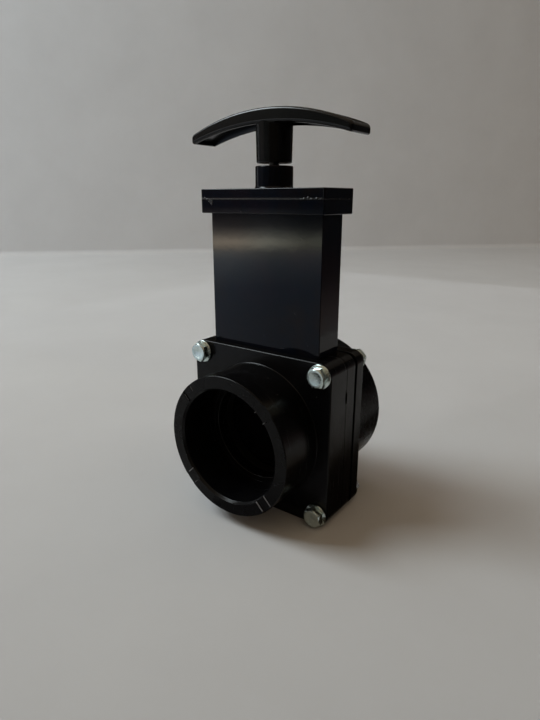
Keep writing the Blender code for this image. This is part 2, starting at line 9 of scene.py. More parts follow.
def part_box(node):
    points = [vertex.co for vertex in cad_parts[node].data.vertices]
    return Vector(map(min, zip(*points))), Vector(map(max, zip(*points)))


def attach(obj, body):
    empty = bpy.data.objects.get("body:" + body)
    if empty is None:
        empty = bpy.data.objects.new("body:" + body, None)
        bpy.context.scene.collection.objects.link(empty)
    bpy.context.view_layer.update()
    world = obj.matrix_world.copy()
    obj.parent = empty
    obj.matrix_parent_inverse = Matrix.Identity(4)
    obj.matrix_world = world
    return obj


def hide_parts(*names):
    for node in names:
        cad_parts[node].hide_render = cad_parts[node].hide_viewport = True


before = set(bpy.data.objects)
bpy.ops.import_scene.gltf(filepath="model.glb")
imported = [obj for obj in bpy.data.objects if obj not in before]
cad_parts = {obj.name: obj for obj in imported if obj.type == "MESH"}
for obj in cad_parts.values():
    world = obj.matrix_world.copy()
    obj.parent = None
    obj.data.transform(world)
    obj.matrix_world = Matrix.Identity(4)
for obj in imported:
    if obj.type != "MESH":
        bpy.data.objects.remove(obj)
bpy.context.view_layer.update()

# Front body half: a deep square tray with the front pipe hub, moulded in one shot of black plastic.
# A pipe is glued into the hub's bore or a fitting over its outside. Four bolts pass through the corners.
front_low, front_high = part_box("front_body")
flange_half = front_high.x
pipe_z = flange_half
stem_y = -0.0027
flange_corner = 0.0053
flange_edge = 0.0005
flange_joint_edge = 0.0003
front_hub_radius = 0.0315
front_hub_length = 0.0227
front_face_y = front_low.y + front_hub_length
front_bore_radius = 0.02515
front_bore_depth = 0.0210
port_radius = 0.0225
hub_fillet = 0.0007
hub_mouth = 0.0005
hub_sink = 0.0001
stop_edge = 0.0005
stop_root = 0.0001
pocket_half = 0.0278
half_round_steps = 28
pocket_y = front_face_y + 0.0043
bolt_offset = 0.0322
bolt_hole_radius = 0.0028
overshoot = 0.001
pipe_line = ((0, 0, pipe_z), (0, 1, 0))


def rounded(corners, steps=8):
    """Points of an outline from its corners, each given as two places and a rounding radius."""
    points = []
    for index, (across, along, radius) in enumerate(corners):
        here = Vector((across, along))
        if radius == 0:
            points.append(here)
            continue
        before = (Vector(corners[index - 1][:2]) - here).normalized()
        after = (Vector(corners[(index + 1) % len(corners)][:2]) - here).normalized()
        half = before.angle(after) / 2
        centre = here + (before + after).normalized() * radius / math.sin(half)
        start = here + before * radius / math.tan(half) - centre
        end = here + after * radius / math.tan(half) - centre
        first = math.atan2(start.y, start.x)
        turn = (math.atan2(end.y, end.x) - first + math.pi) % (2 * math.pi) - math.pi
        for step in range(steps + 1):
            angle = first + turn * step / steps
            points.append(centre + Vector((math.cos(angle), math.sin(angle))) * radius)
    return points


def extrude(step):
    """Extrudes what is selected along a step."""
    bpy.ops.mesh.extrude_region_move(TRANSFORM_OT_translate={"value": step})


def draw(points):
    """Draws a chain of edges through points, and stays in edit mode with all of it selected."""
    bpy.ops.object.select_all(action="DESELECT")
    bpy.ops.mesh.primitive_plane_add(size=overshoot, location=points[0])
    bpy.ops.object.mode_set(mode="EDIT")
    bpy.ops.mesh.select_mode(type="VERT")
    bpy.ops.mesh.merge(type="CENTER")
    for before, after in zip(points, points[1:]):
        step = Vector(after) - Vector(before)
        if step.length > 1e-7:
            extrude(step)
    bpy.ops.mesh.select_all(action="SELECT")


def settle(name):
    """Merges doubles, turns the faces outwards, and puts the piece's place into its mesh."""
    bpy.ops.mesh.select_all(action="SELECT")
    bpy.ops.mesh.remove_doubles(threshold=1e-6)
    bpy.ops.mesh.normals_make_consistent(inside=False)
    bpy.ops.object.mode_set(mode="OBJECT")
    bpy.ops.object.transform_apply(location=True, rotation=True, scale=True)
    piece = bpy.context.object
    piece.name = name
    piece.data.name = name
    return piece


def primitive(name, shape, **sizes):
    """A ready-made shape to work from, with its place, turn and scale put into its mesh."""
    bpy.ops.object.select_all(action="DESELECT")
    shape(**sizes)
    bpy.ops.object.mode_set(mode="EDIT")
    return settle(name)


def slab(name, outline, front, back):
    """A slab with an outline in X and Z that runs from front to back along Y."""
    draw([(across, front, height) for across, height in outline])
    bpy.ops.mesh.edge_face_add()
    extrude((0, back - front, 0))
    return settle(name)


def turned(name, profile, line, sides):
    """A piece spun round a line (centre and direction), from points of radius and place along it."""
    centre, along = Vector(line[0]), Vector(line[1])
    draw([centre + Vector((radius, 0, 0)) + along * place for radius, place in profile])
    bpy.ops.mesh.spin(steps=sides, angle=2 * math.pi, center=centre, axis=along)
    return settle(name)


def plain(radius, start, end):
    """The profile of a plain round bar."""
    return [(0, start), (radius, start), (radius, end), (0, end)]


def pick(piece):
    """Selects one piece alone and makes it the active one."""
    bpy.ops.object.select_all(action="DESELECT")
    piece.select_set(True)
    bpy.context.view_layer.objects.active = piece


def choose(piece, kind, wanted):
    """Selects the points, or the edges between two points, that pass a test, and stays in edit mode."""
    pick(piece)
    bpy.ops.object.mode_set(mode="EDIT")
    bpy.ops.mesh.select_mode(type=kind)
    bpy.ops.mesh.select_all(action="DESELECT")
    bpy.ops.object.mode_set(mode="OBJECT")
    points = piece.data.vertices
    if kind == "VERT":
        for point in points:
            point.select = wanted(point.co)
    else:
        for edge in piece.data.edges:
            edge.select = all(wanted(points[index].co) for index in edge.vertices)
    bpy.ops.object.mode_set(mode="EDIT")


def round_edges(piece, width, steps, wanted):
    """Rounds the edges whose two end points both pass a test."""
    choose(piece, "EDGE", wanted)
    bpy.ops.mesh.bevel(offset=width, segments=steps, affect="EDGES")
    bpy.ops.object.mode_set(mode="OBJECT")


def near(value, target):
    """True where two places are the same within a hundredth of a millimetre."""
    return abs(value - target) < 1e-5


def combine(piece, tool, operation):
    """Applies a Boolean step with a tool, and removes the tool."""
    bpy.context.view_layer.objects.active = piece
    bpy.ops.object.modifier_add(type="BOOLEAN")
    step = piece.modifiers[-1]
    step.object = tool
    step.operation = operation
    step.solver = "EXACT"
    bpy.ops.object.modifier_apply(modifier=step.name)
    bpy.data.objects.remove(tool, do_unlink=True)


def smooth(piece, angle=35):
    """Clears faces without area, shades round faces smooth and keeps flat faces flat up to their edges."""
    pick(piece)
    bpy.ops.object.mode_set(mode="EDIT")
    bpy.ops.mesh.select_all(action="SELECT")
    bpy.ops.mesh.dissolve_degenerate(threshold=1e-7)
    bpy.ops.object.mode_set(mode="OBJECT")
    bpy.ops.object.shade_smooth_by_angle(angle=math.radians(angle))
    bpy.ops.object.modifier_add(type="WEIGHTED_NORMAL")
    step = piece.modifiers[-1]
    step.keep_sharp = True
    bpy.ops.object.modifier_apply(modifier=step.name)


def square(half, corner):
    """A square outline about the pipe axis with rounded corners."""
    low, high = pipe_z - half, pipe_z + half
    return rounded([(-half, low, corner), (half, low, corner), (half, high, corner), (-half, high, corner)])


def slot_outline(half, top):
    """A slot outline with straight sides, open at its top, and a half-round bottom about the pipe axis."""
    low = pipe_z - half
    corners = [(-half, top, 0), (-half, low, half), (half, low, half), (half, top, 0)]
    return rounded(corners, half_round_steps)


def hub(name, radius, face, end):
    """A pipe hub without its bore, from just inside its flange to its end, with a small root fillet."""
    inward = math.copysign(1, face - end)
    sunk = face + inward * hub_sink
    profile = [
        (0, end, 0),
        (radius, end, hub_mouth),
        (radius, sunk, hub_fillet),
        (radius + 2 * hub_fillet, sunk, 0),
        (radius + 2 * hub_fillet, sunk + inward * overshoot, 0),
        (0, sunk + inward * overshoot, 0),
    ]
    return turned(name, rounded(profile), pipe_line, sides=128)


def bore(name, radius, end, stop, inner_end):
    """A cutter for a pipe socket with a rounded mouth, its stop, and the port behind it."""
    outward = math.copysign(1, end - stop)
    lip = 2 * hub_mouth
    profile = [
        (0, end + outward * overshoot, 0),
        (radius + lip + overshoot, end + outward * overshoot, 0),
        (radius + lip, end, 0),
        (radius, end - outward * lip, hub_mouth),
        (radius, stop, stop_root),
        (port_radius, stop, stop_edge),
        (port_radius, inner_end, 0),
        (0, inner_end, 0),
    ]
    return turned(name, rounded(profile), pipe_line, sides=128)


def bolt_holes(piece, front, back):
    """Drills the four bolt holes through a piece."""
    for side in (-1, 1):
        for level in (-1, 1):
            line = ((side * bolt_offset, 0, pipe_z + level * bolt_offset), (0, 1, 0))
            drill = turned("drill", plain(bolt_hole_radius, front, back), line, sides=32)
            combine(piece, drill, "DIFFERENCE")


front_body = slab("front_body_moulding", square(flange_half, flange_corner), front_face_y, front_high.y)
round_edges(front_body, flange_edge, 4, lambda co: near(co.y, front_face_y))
round_edges(front_body, flange_joint_edge, 2, lambda co: near(co.y, front_high.y))
combine(front_body, hub("front_hub", front_hub_radius, front_face_y, front_low.y), "UNION")
end_mark_width = 0.0056
end_mark_depth = 0.0004
for quarter in range(4):
    diagonal = math.radians(45 + 90 * quarter)
    outward = Vector((math.cos(diagonal), math.sin(diagonal)))
    across = Vector((-outward.y, outward.x)) * end_mark_width / 2
    near_end = outward * (front_bore_radius - overshoot)
    far_end = outward * (front_hub_radius + overshoot)
    mark = [near_end - across, far_end - across, far_end + across, near_end + across]
    mark = [(point.x, point.y + pipe_z) for point in mark]
    cutter = slab("end_mark", mark, front_low.y - overshoot, front_low.y + end_mark_depth)
    combine(front_body, cutter, "DIFFERENCE")
front_stop_y = front_low.y + front_bore_depth
front_bore = bore("bore", front_bore_radius, front_low.y, front_stop_y, pocket_y + overshoot)
combine(front_body, front_bore, "DIFFERENCE")
pocket = slot_outline(pocket_half, front_high.z + overshoot)
combine(front_body, slab("pocket", pocket, pocket_y, front_high.y + overshoot), "DIFFERENCE")
bolt_holes(front_body, front_face_y - overshoot, front_high.y + overshoot)
parting_y = stem_y + 0.0009
parting_width = 0.00035
parting_depth = 0.00018
parting_rim = square(flange_half + overshoot, flange_corner)
parting = slab("parting", parting_rim, parting_y, parting_y + parting_width)
parting_core = square(flange_half - parting_depth, flange_corner - parting_depth)
parting_back = parting_y + parting_width + overshoot
combine(parting, slab("parting_core", parting_core, parting_y - overshoot, parting_back), "DIFFERENCE")
combine(front_body, parting, "DIFFERENCE")
gate_mark_half_width = 0.0008
gate_mark_half_height = 0.0032
gate_mark_depth = 0.0005
gate_mark_lip = 0.18
gate_mark_place = (flange_half, parting_y, 0.0575)
gate_mark_turn = (0, math.pi / 2, 0)
gate_mark_scale = (gate_mark_half_height, gate_mark_half_width, gate_mark_depth)
bpy.ops.object.select_all(action="DESELECT")
bpy.ops.mesh.primitive_torus_add(
    major_segments=40,
    minor_segments=10,
    major_radius=1,
    minor_radius=gate_mark_lip,
    location=gate_mark_place,
    rotation=gate_mark_turn,
)
bpy.context.object.scale = gate_mark_scale
bpy.ops.object.mode_set(mode="EDIT")
combine(front_body, settle("gate_mark_lip"), "UNION")
gate_mark = primitive(
    "gate_mark",
    bpy.ops.mesh.primitive_cylinder_add,
    vertices=40,
    radius=1 - gate_mark_lip,
    depth=2,
    location=gate_mark_place,
    rotation=gate_mark_turn,
    scale=gate_mark_scale,
)
combine(front_body, gate_mark, "DIFFERENCE")
smooth(front_body)
burr_sink = 0.2
burr_edge = 0.3
burr_middle = (front_bore_radius + front_hub_radius) / 2
burrs = []
for quarter, side, shift, length, width in (
    (0, -1, -0.0023, 0.0013, 0.00020),
    (0, 1, -0.0025, 0.0010, 0.00018),
    (1, -1, 0.0008, 0.0024, 0.00012),
    (1, 1, 0.0, 0.0030, 0.00008),
    (2, -1, -0.0010, 0.0036, 0.00040),
    (2, 1, 0.0004, 0.0024, 0.00020),
    (3, -1, 0.0, 0.0050, 0.00046),
    (3, 1, 0.0, 0.0052, 0.00050),
):
    bpy.ops.object.select_all(action="DESELECT")
    bpy.ops.mesh.primitive_cube_add(
        size=1,
        location=(burr_middle + shift, front_low.y + width * burr_sink, pipe_z + side * end_mark_width / 2),
        scale=(length, width, width),
    )
    bpy.ops.object.mode_set(mode="EDIT")
    bpy.ops.mesh.bevel(offset=width * burr_edge, segments=3, affect="EDGES")
    turn = math.radians(45 + 90 * quarter)
    bpy.ops.transform.rotate(value=turn, orient_axis="Y", center_override=(0, 0, pipe_z))
    burrs.append(settle("end_mark_burr"))


def joined(name, pieces):
    """Joins closed pieces into one object."""
    bpy.ops.object.select_all(action="DESELECT")
    for piece in pieces:
        piece.select_set(True)
    bpy.context.view_layer.objects.active = pieces[0]
    bpy.ops.object.join()
    pieces[0].name = name
    pieces[0].data.name = name
    return pieces[0]


end_burrs = joined("end_mark_burrs", burrs)
smooth(end_burrs)


def fill(node, values):
    """Sets a shading node's inputs, each to a constant or to what another node gives out."""
    for socket, value in values.items():
        if isinstance(value, bpy.types.NodeSocket):
            node.id_data.links.new(value, node.inputs[socket])
        else:
            node.inputs[socket].default_value = value
    return node


def add(tree, kind, values):
    """Adds a shading node with its inputs."""
    return fill(tree.nodes.new(kind), values)


def ramp(tree, source, *stops):
    """Turns a value into colours or greys, between stops of place and colour."""
    made = add(tree, "ShaderNodeValToRGB", {"Fac": source})
    points = made.color_ramp.elements
    while len(points) < len(stops):
        points.new(0.5)
    for point, (place, colour) in zip(points, stops):
        point.position = place
        point.color = (*colour, 1) if isinstance(colour, tuple) else (colour, colour, colour, 1)
    return made.outputs["Color"]


def noisy(tree, place, scale, detail, rough=0.5):
    """A cloudy value from a noise texture."""
    values = {"Vector": place, "Scale": scale, "Detail": detail, "Roughness": rough}
    return add(tree, "ShaderNodeTexNoise", values).outputs["Fac"]


def bumped(tree, height, strength, depth, below=None):
    """A fine relief from a height, laid over another relief where one is given."""
    values = {"Height": height, "Strength": strength, "Distance": depth}
    if below is not None:
        values["Normal"] = below
    return add(tree, "ShaderNodeBump", values).outputs["Normal"]


def mixed(tree, fade, first, second, blend="MIX"):
    """Mixes two colours by a fade, or multiplies them."""
    made = tree.nodes.new("ShaderNodeMix")
    made.data_type = "RGBA"
    made.blend_type = blend
    return fill(made, {0: fade, 6: first, 7: second}).outputs[2]


def new_finish(name):
    """A new material with its node tree, its shader and the object's own coordinates."""
    finish = bpy.data.materials.new(name)
    finish.use_nodes = True
    tree = finish.node_tree
    place = add(tree, "ShaderNodeTexCoord", {}).outputs["Object"]
    return finish, tree, tree.nodes["Principled BSDF"], place


def moulded_plastic(name, tones, gloss, ripple, index):
    """Black moulded plastic: clouded colour, uneven gloss, shallow ripples and fine handling scratches."""
    finish, tree, shader, place = new_finish(name)
    clouds = noisy(tree, place, scale=48, detail=6, rough=0.6)
    patches = noisy(tree, place, scale=170, detail=5, rough=0.55)
    grain = noisy(tree, place, scale=5200, detail=3)
    streaks = {"Vector": place, "Rotation": (0.4, 0.9, 0.3), "Scale": (35, 2600, 60)}
    streaks = add(tree, "ShaderNodeMapping", streaks).outputs["Vector"]
    scratches = ramp(tree, noisy(tree, streaks, scale=1, detail=2), (0.70, 0.0), (0.76, 1.0))
    specks = add(tree, "ShaderNodeTexVoronoi", {"Vector": place, "Scale": 210, "Randomness": 1})
    dust = ramp(tree, specks.outputs["Distance"], (0.020, 1.0), (0.045, 0.0))
    spread = [(0.32 + 0.38 * step / (len(tones) - 1), tone) for step, tone in enumerate(tones)]
    scraped = (*(3.0 * part for part in tones[-1]), 1)
    worn = mixed(tree, scratches, ramp(tree, clouds, *spread), scraped)
    dusty = mixed(tree, dust, worn, (0.085, 0.082, 0.078, 1))
    sheen = ramp(tree, patches, (0.30, gloss * 0.86), (0.72, gloss * 1.22))
    rough = add(tree, "ShaderNodeMath", {0: scratches, 1: 0.22, 2: sheen})
    rough.operation = "MULTIPLY_ADD"
    waves = bumped(tree, clouds, strength=1, depth=ripple)
    pores = bumped(tree, grain, strength=0.5, depth=0.000004, below=waves)
    looks = {"Base Color": dusty, "Roughness": rough.outputs["Value"], "Normal": pores, "IOR": index}
    fill(shader, looks)
    return finish


def dress(piece, finish, body, slot, *nodes):
    """Gives a piece its finish, hangs it on the body it rides on, and hides the solids it stands for."""
    piece.data.materials.clear()
    piece.data.materials.append(finish)
    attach(piece, body)
    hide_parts(*nodes)


def refinish(piece, finish, wanted):
    """Gives a second finish to the faces that pass a test."""
    piece.data.materials.append(finish)
    for face in piece.data.polygons:
        if wanted(face):
            face.material_index = 1


black = ((0.0012, 0.0012, 0.0015), (0.0034, 0.0033, 0.0036))
body_plastic = moulded_plastic("satin_black_body", black, gloss=0.22, ripple=0.00006, index=1.27)
dress(front_body, body_plastic, "body", "body_plastic", "front_body")
end_plastic = moulded_plastic("faced_black_end", black, gloss=0.28, ripple=0.00004, index=1.22)
tree = end_plastic.node_tree
shader = tree.nodes["Principled BSDF"]
rippled = shader.inputs["Normal"].links[0].from_socket
end_place = add(tree, "ShaderNodeTexCoord", {}).outputs["Object"]
on_axis = add(tree, "ShaderNodeMapping", {"Vector": end_place, "Location": (0, 0, -pipe_z)})
tool_marks = {"Vector": on_axis.outputs["Vector"], "Scale": 560, "Distortion": 2.5, "Detail": 3}
tool_marks = add(tree, "ShaderNodeTexWave", tool_marks)
tool_marks.wave_type = "RINGS"
tool_marks.rings_direction = "Y"
grooves = bumped(tree, tool_marks.outputs["Fac"], strength=0.6, depth=0.00002, below=rippled)
fill(shader, {"Normal": grooves})
end_depth = front_low.y + 2 * end_mark_depth
refinish(front_body, end_plastic, lambda face: face.normal.y < -0.9 and face.center.y < end_depth)
whitened = ((0.060, 0.060, 0.064), (0.200, 0.198, 0.202))
burr_plastic = moulded_plastic("whitened_black_burr", whitened, gloss=0.35, ripple=0.00003, index=1.45)
dress(end_burrs, burr_plastic, "body", "body_plastic", "front_body")

# Gate housing: one tall flat moulding round the gate. Its half-round frame is clamped between the body
# halves, its box stands above them, and a wider rim at its top takes the cap.
housing_low, housing_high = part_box("gate_housing")
housing_half = 0.02867
housing_half_depth = 0.0077
housing_edge = 0.0003
housing_front = stem_y - housing_half_depth
housing_back = stem_y + housing_half_depth
fit_gap = 0.0003
shoulder_z = front_high.z + fit_gap
frame_half = 0.0275
cavity_half = 0.0259
cavity_half_depth = 0.0052
window_radius = 0.0249
rim_height = 0.0057
rim_corner = 0.0006
rim_edge = 0.0004
seam_edge = 0.00055
shaft_top = housing_high.z - rim_height / 2
frame_bottom = pipe_z - frame_half
outline = [
    (-housing_half, shaft_top, 0),
    (-housing_half, shoulder_z, 0),
    (-frame_half, shoulder_z, 0),
    (-frame_half, frame_bottom, frame_half),
    (frame_half, frame_bottom, frame_half),
    (frame_half, shoulder_z, 0),
    (housing_half, shoulder_z, 0),
    (housing_half, shaft_top, 0),
]
housing = slab("gate_housing_moulding", rounded(outline, half_round_steps), housing_front, housing_back)


def round_uprights(piece, low, high, width):
    """Rounds the four upright edges of a box between two corners."""
    for side in (low.x, high.x):
        for face in (low.y, high.y):
            round_edges(piece, width, 4, lambda co: abs(co.x - side) < width and abs(co.y - face) < width)


round_uprights(
    housing, Vector((-housing_half, housing_front)), Vector((housing_half, housing_back)), housing_edge
)


def block(name, low, high):
    """A box between two corners, with its place in its mesh."""
    low, high = Vector(low), Vector(high)
    cube = bpy.ops.mesh.primitive_cube_add
    return primitive(name, cube, size=1, location=(low + high) / 2, scale=high - low)


rim_low = Vector((housing_low.x, housing_low.y, housing_high.z - rim_height))
rim = block("rim", rim_low, housing_high)
round_uprights(rim, housing_low, housing_high, rim_corner)
round_edges(rim, rim_edge, 3, lambda co: near(co.z, rim_low.z))
for face in (housing_low.y, housing_high.y):
    round_edges(rim, seam_edge, 3, lambda co: near(co.z, housing_high.z) and near(co.y, face))
combine(housing, rim, "UNION")
cavity = slot_outline(cavity_half, housing_high.z + overshoot)
cavity_front = stem_y - cavity_half_depth
combine(housing, slab("cavity", cavity, cavity_front, stem_y + cavity_half_depth), "DIFFERENCE")
window = plain(window_radius, housing_front - overshoot, housing_back + overshoot)
combine(housing, turned("window", window, pipe_line, sides=128), "DIFFERENCE")
smooth(housing)
smudged = ((0.0072, 0.0046, 0.0040), (0.0018, 0.0032, 0.0066), (0.0066, 0.0040, 0.0070))
housing_plastic = moulded_plastic("glossy_black_housing", smudged, gloss=0.04, ripple=0.00003, index=1.30)
dress(housing, housing_plastic, "body", "housing_plastic", "gate_housing")

# Gate seals: two soft rubber rings in the housing's windows, one on each face of the gate.
# Each has a bevelled lip that the gate wipes along.
seal_outer = 0.0246
seal_lip = 0.0006
seal_edge = 0.0002
seal_rubber, tree, shader, place = new_finish("matt_seal_rubber")
bloom = noisy(tree, place, scale=320, detail=5, rough=0.6)
pits = noisy(tree, place, scale=4200, detail=3)
shade = ramp(tree, bloom, (0.35, (0.006, 0.006, 0.006)), (0.75, (0.0114, 0.0114, 0.0114)))
sheen = ramp(tree, bloom, (0.3, 0.52), (0.7, 0.72))
skin = bumped(tree, pits, strength=0.7, depth=0.00002)
fill(shader, {"Base Color": shade, "Roughness": sheen, "Normal": skin, "IOR": 1.2})
for node, side in (("front_gate_seal", -1), ("rear_gate_seal", 1)):
    seal_low, seal_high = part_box(node)
    outer_y, lip_y = (seal_low.y, seal_high.y) if side < 0 else (seal_high.y, seal_low.y)
    section = [
        (port_radius, outer_y, seal_edge),
        (seal_outer, outer_y, seal_edge),
        (seal_outer, lip_y + side * seal_lip, seal_edge),
        (seal_outer - seal_lip, lip_y, seal_edge),
        (port_radius + seal_lip, lip_y, seal_edge),
        (port_radius, lip_y + side * seal_lip, seal_edge),
    ]
    section = rounded(section, 3)
    seal = turned(node + "_ring", section + section[:1], pipe_line, sides=128)
    smooth(seal)
    dress(seal, seal_rubber, "body", "seal_rubber", node)

# Gate blade: a flat moulded plate with a half-round lower edge that slides between the seals.
# Its solid already has the right shape, so it only gets its polished black finish.
gate_plastic = moulded_plastic("polished_black_gate", black, gloss=0.20, ripple=0.00003, index=1.22)


def keep_solid(node, finish):
    """Gives a finish to a solid that stays as it is."""
    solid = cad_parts[node]
    solid.data.materials.clear()
    solid.data.materials.append(finish)


keep_solid("gate_blade", gate_plastic)

# Body gasket: a flat rubber sheet cut to the flange, squeezed between the two body halves.
# It is set back from the edges, so only a dark line shows in the gap.
keep_solid("body_gasket", seal_rubber)

# Rear body half: a square plate with a pad that closes the tray, and the wider rear pipe hub.
# It is moulded from the same black plastic as the front half.
rear_low, rear_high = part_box("rear_body")
rear_plate_front = stem_y + 0.0100
rear_face_y = stem_y + 0.0160
rear_hub_radius = 0.03555
rear_bore_radius = 0.03165
rear_stop_y = rear_high.y - 0.0226
pad_drop = 0.0010
rear_body = slab("rear_body_moulding", square(flange_half, flange_corner), rear_plate_front, rear_face_y)
round_edges(rear_body, flange_edge, 4, lambda co: near(co.y, rear_face_y))
round_edges(rear_body, flange_joint_edge, 2, lambda co: near(co.y, rear_plate_front))
pad = slot_outline(pocket_half - fit_gap, front_high.z - pad_drop)
combine(rear_body, slab("pad", pad, rear_low.y, rear_plate_front + overshoot), "UNION")
combine(rear_body, hub("rear_hub", rear_hub_radius, rear_face_y, rear_high.y), "UNION")
rear_bore = bore("bore", rear_bore_radius, rear_high.y, rear_stop_y, rear_low.y - overshoot)
combine(rear_body, rear_bore, "DIFFERENCE")
bolt_holes(rear_body, rear_plate_front - overshoot, rear_face_y + overshoot)
smooth(rear_body)
dress(rear_body, body_plastic, "body", "body_plastic", "rear_body")
# The hub's outside gets a copy of the black plastic that reflects less, so it renders darker than the
# plate.
hub_plastic = moulded_plastic("low_reflection_black_hub", black, gloss=0.26, ripple=0.00006, index=1.15)
refinish(rear_body, hub_plastic, lambda face: face.center.y > rear_face_y + hub_fillet)

# Bolts: four cold-headed steel bolts with a hexagon on a round flange, bright zinc plated.
# The head has a shallow dish from the heading tool, and the thread starts where the halves end.
washer_radius = 0.0052
washer_height = 0.0012
washer_rim = 0.45
washer_foot_edge = 0.00015
washer_top_edge = 0.0003
hexagon_flats = 0.0080
hexagon_height = 0.0026
hexagon_edge = 0.00012
hexagon_cone = 0.0014
crown_radius = 0.0035
dish_radius = 0.0031
dish_depth = 0.00024
dish_steps = 8
shank_radius = 0.0025
thread_depth = 0.0004
thread_pitch = 0.0008
thread_turns = 14
thread_form = ((0.45, thread_depth), (0.55, thread_depth), (0.94, 0), (1, 0))
bolt_length = 0.0353
bolt_line = ((0, 0, 0), (0, 1, 0))
bolt_turns = {"top_left": 12, "top_right": 38, "bottom_left": 25, "bottom_right": 3}
corners = {"top_left": (-1, 1), "top_right": (1, 1), "bottom_left": (-1, -1), "bottom_right": (1, -1)}


def hexagon(name, base, top):
    """A hexagon bar along Y from base to top, with its top corners turned off to a cone."""
    corner = hexagon_flats / 2 / math.cos(math.radians(30))
    outward = math.copysign(1, top - base)
    bar = primitive(
        name,
        bpy.ops.mesh.primitive_cylinder_add,
        vertices=6,
        radius=corner,
        depth=abs(top - base),
        location=(0, (base + top) / 2, 0),
        rotation=(math.pi / 2, 0, 0),
    )
    round_edges(bar, hexagon_edge, 2, lambda co: True)
    cone = [
        (0, base - outward * overshoot),
        (corner + overshoot, base - outward * overshoot),
        (corner + overshoot, top - outward * hexagon_cone),
        (crown_radius, top + outward * hexagon_edge),
        (0, top + outward * hexagon_edge),
    ]
    combine(bar, turned("cone", cone, bolt_line, sides=64), "INTERSECT")
    return bar


def flange_washer(name, seat, rise):
    """The round flange under a hexagon, from its seat along Y, with a sloped upper side."""
    outward = math.copysign(1, rise)
    profile = [
        (0, seat, 0),
        (washer_radius, seat, washer_foot_edge),
        (washer_radius, seat + outward * washer_height * washer_rim, washer_top_edge),
        (hexagon_flats / 2, seat + rise, washer_top_edge),
        (0, seat + rise, 0),
    ]
    return turned(name, rounded(profile, 4), bolt_line, sides=64)


def bolt_on(master, prefix, face, turns, finish):
    """Copies a finished bolt or nut to the four corners, each turned to where it was tightened."""
    for corner, (side, level) in corners.items():
        pick(master)
        bpy.ops.object.duplicate()
        copy = bpy.context.object
        copy.name = prefix + corner + "_plated"
        copy.data.name = copy.name
        turn = math.radians(turns[corner])
        bpy.ops.transform.rotate(value=turn, orient_axis="Y", center_override=(0, 0, 0))
        bpy.ops.transform.translate(value=(side * bolt_offset, face, pipe_z + level * bolt_offset))
        bpy.ops.object.transform_apply(location=True, rotation=True, scale=True)
        dress(copy, finish, "body", "zinc_steel", prefix + corner)
    bpy.data.objects.remove(master, do_unlink=True)


head_top = -washer_height - hexagon_height
bolt = flange_washer("bolt", 0, -washer_height)
combine(bolt, hexagon("hexagon", -washer_height / 2, head_top), "UNION")
dish = [(0, head_top - overshoot), (dish_radius, head_top - overshoot)]
for step in range(dish_steps, -1, -1):
    reach = step / dish_steps
    dish.append((dish_radius * reach, head_top + dish_depth * (1 - reach**2)))
combine(bolt, turned("dish", dish, bolt_line, sides=48), "DIFFERENCE")
thread_start = bolt_length - thread_turns * thread_pitch
shank = [(0, -washer_height / 2), (shank_radius, -washer_height / 2), (shank_radius, thread_start)]
for turn in range(thread_turns - 1):
    crest = thread_start + turn * thread_pitch
    for share, depth in thread_form:
        shank.append((shank_radius - depth, crest + thread_pitch * share))
shank += [(shank_radius - thread_depth, bolt_length), (0, bolt_length)]
combine(bolt, turned("shank", shank, bolt_line, sides=40), "UNION")
smooth(bolt, 28)
zinc, tree, shader, place = new_finish("bright_zinc_plate")
tint = noisy(tree, place, scale=420, detail=4, rough=0.6)
spots = noisy(tree, place, scale=1900, detail=4, rough=0.7)
shade = ramp(
    tree, tint, (0.30, (0.46, 0.56, 0.55)), (0.50, (0.65, 0.75, 0.73)), (0.72, (0.54, 0.63, 0.64))
)
dull = ramp(tree, spots, (0.35, 0.19), (0.62, 0.27), (0.75, 0.38))
skin = bumped(tree, spots, strength=0.5, depth=0.00002)
fill(shader, {"Base Color": shade, "Roughness": dull, "Normal": skin, "Metallic": 1})
bolt_on(bolt, "bolt_", front_face_y - fit_gap, bolt_turns, zinc)

# Nuts: four zinc plated flange nuts on the bolt ends, drawn up against the rear plate.
# Each is a chamfered hexagon on a round flange, with its thread inside.
nut_height = 0.0046
nut_bore_radius = 0.0028
nut_mouth = 0.0014
nut_lead = 0.0004
nut_threads = 4
nut_turns = {"top_left": 20, "top_right": 47, "bottom_left": 9, "bottom_right": 33}
nut = flange_washer("nut", 0, washer_height)
combine(nut, hexagon("hexagon", washer_height / 2, nut_height), "UNION")
thread = [(0, -overshoot), (nut_bore_radius + nut_mouth, -overshoot), (nut_bore_radius, nut_lead)]
for turn in range(nut_threads):
    crest = nut_lead + turn * thread_pitch
    thread.append((nut_bore_radius + thread_depth, crest + thread_pitch / 2))
    thread.append((nut_bore_radius, crest + thread_pitch))
thread += [
    (nut_bore_radius, nut_height - nut_lead),
    (nut_bore_radius + nut_mouth, nut_height + overshoot),
    (0, nut_height + overshoot),
]
combine(nut, turned("thread", thread, bolt_line, sides=40), "DIFFERENCE")
smooth(nut, 28)
bolt_on(nut, "nut_", rear_face_y + fit_gap, nut_turns, zinc)

